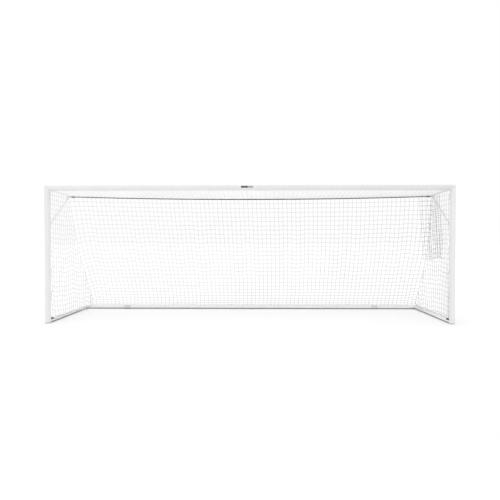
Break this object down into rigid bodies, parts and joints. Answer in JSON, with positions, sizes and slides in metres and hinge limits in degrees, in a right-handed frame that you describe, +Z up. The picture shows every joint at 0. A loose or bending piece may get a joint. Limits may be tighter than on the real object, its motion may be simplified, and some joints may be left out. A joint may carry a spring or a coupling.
{
  "type": "soccer goal",
  "caption": "Full-size portable soccer goal: round-tube mouth, bent net supports joined by a taut rope, ground frame and knotted net.",
  "frame": {"origin": "centre of the footprint on the ground, under the middle of the goal", "axes": "+X along the crossbar, -Y out of the goal mouth towards the field, +Z up"},
  "size_m": [7.5184, 2.1995, 2.54],
  "materials": {
    "white_coat": "satin white powder coat",
    "dark_coat": "matt dark coat",
    "zinc": "zinc plated",
    "cast_alloy": "as cast",
    "white_plastic": "moulded",
    "badge": "plain printed film",
    "black_rope": "braided rope",
    "net_twine": "knotted white twine"
  },
  "bodies": {
    "root": {"bracket_bolt_front_left": "zinc", "bracket_bolt_front_right": "zinc", "bracket_bolt_lug_left": "zinc", "bracket_bolt_lug_right": "zinc", "bracket_bolt_rear_left": "zinc", "bracket_bolt_rear_right": "zinc", "corner_bolt_bar_left": "zinc", "corner_bolt_bar_right": "zinc", "corner_bolt_post_left": "zinc", "corner_bolt_post_right": "zinc", "corner_insert_left": "cast_alloy", "corner_insert_right": "cast_alloy", "crossbar": "white_coat", "crossbar_badge": "badge", "foot_bracket_left": "dark_coat", "foot_bracket_right": "dark_coat", "foot_left": "white_plastic", "foot_right": "white_plastic", "net_back": "net_twine", "net_side_left": "net_twine", "net_side_right": "net_twine", "net_support_left": "white_coat", "net_support_right": "white_coat", "net_top": "net_twine", "post_left": "white_coat", "post_right": "white_coat", "rear_bar": "white_coat", "rear_sleeve_left": "white_coat", "rear_sleeve_right": "white_coat", "return_bar_left": "white_coat", "return_bar_right": "white_coat", "rope_eye_left": "zinc", "rope_eye_nut_left": "zinc", "rope_eye_nut_right": "zinc", "rope_eye_right": "zinc", "side_bar_left": "white_coat", "side_bar_right": "white_coat", "sleeve_bolt_inner_left": "zinc", "sleeve_bolt_inner_right": "zinc", "sleeve_bolt_outer_left": "zinc", "sleeve_bolt_outer_right": "zinc", "support_bolt_lower_left": "zinc", "support_bolt_lower_right": "zinc", "support_bolt_upper_left": "zinc", "support_bolt_upper_right": "zinc", "support_nut_lower_left": "zinc", "support_nut_lower_right": "zinc", "support_nut_upper_left": "zinc", "support_nut_upper_right": "zinc", "support_socket_lower_left": "white_coat", "support_socket_lower_right": "white_coat", "support_socket_upper_left": "white_coat", "support_socket_upper_right": "white_coat", "tension_rope": "black_rope"}
  },
  "joints": []
}
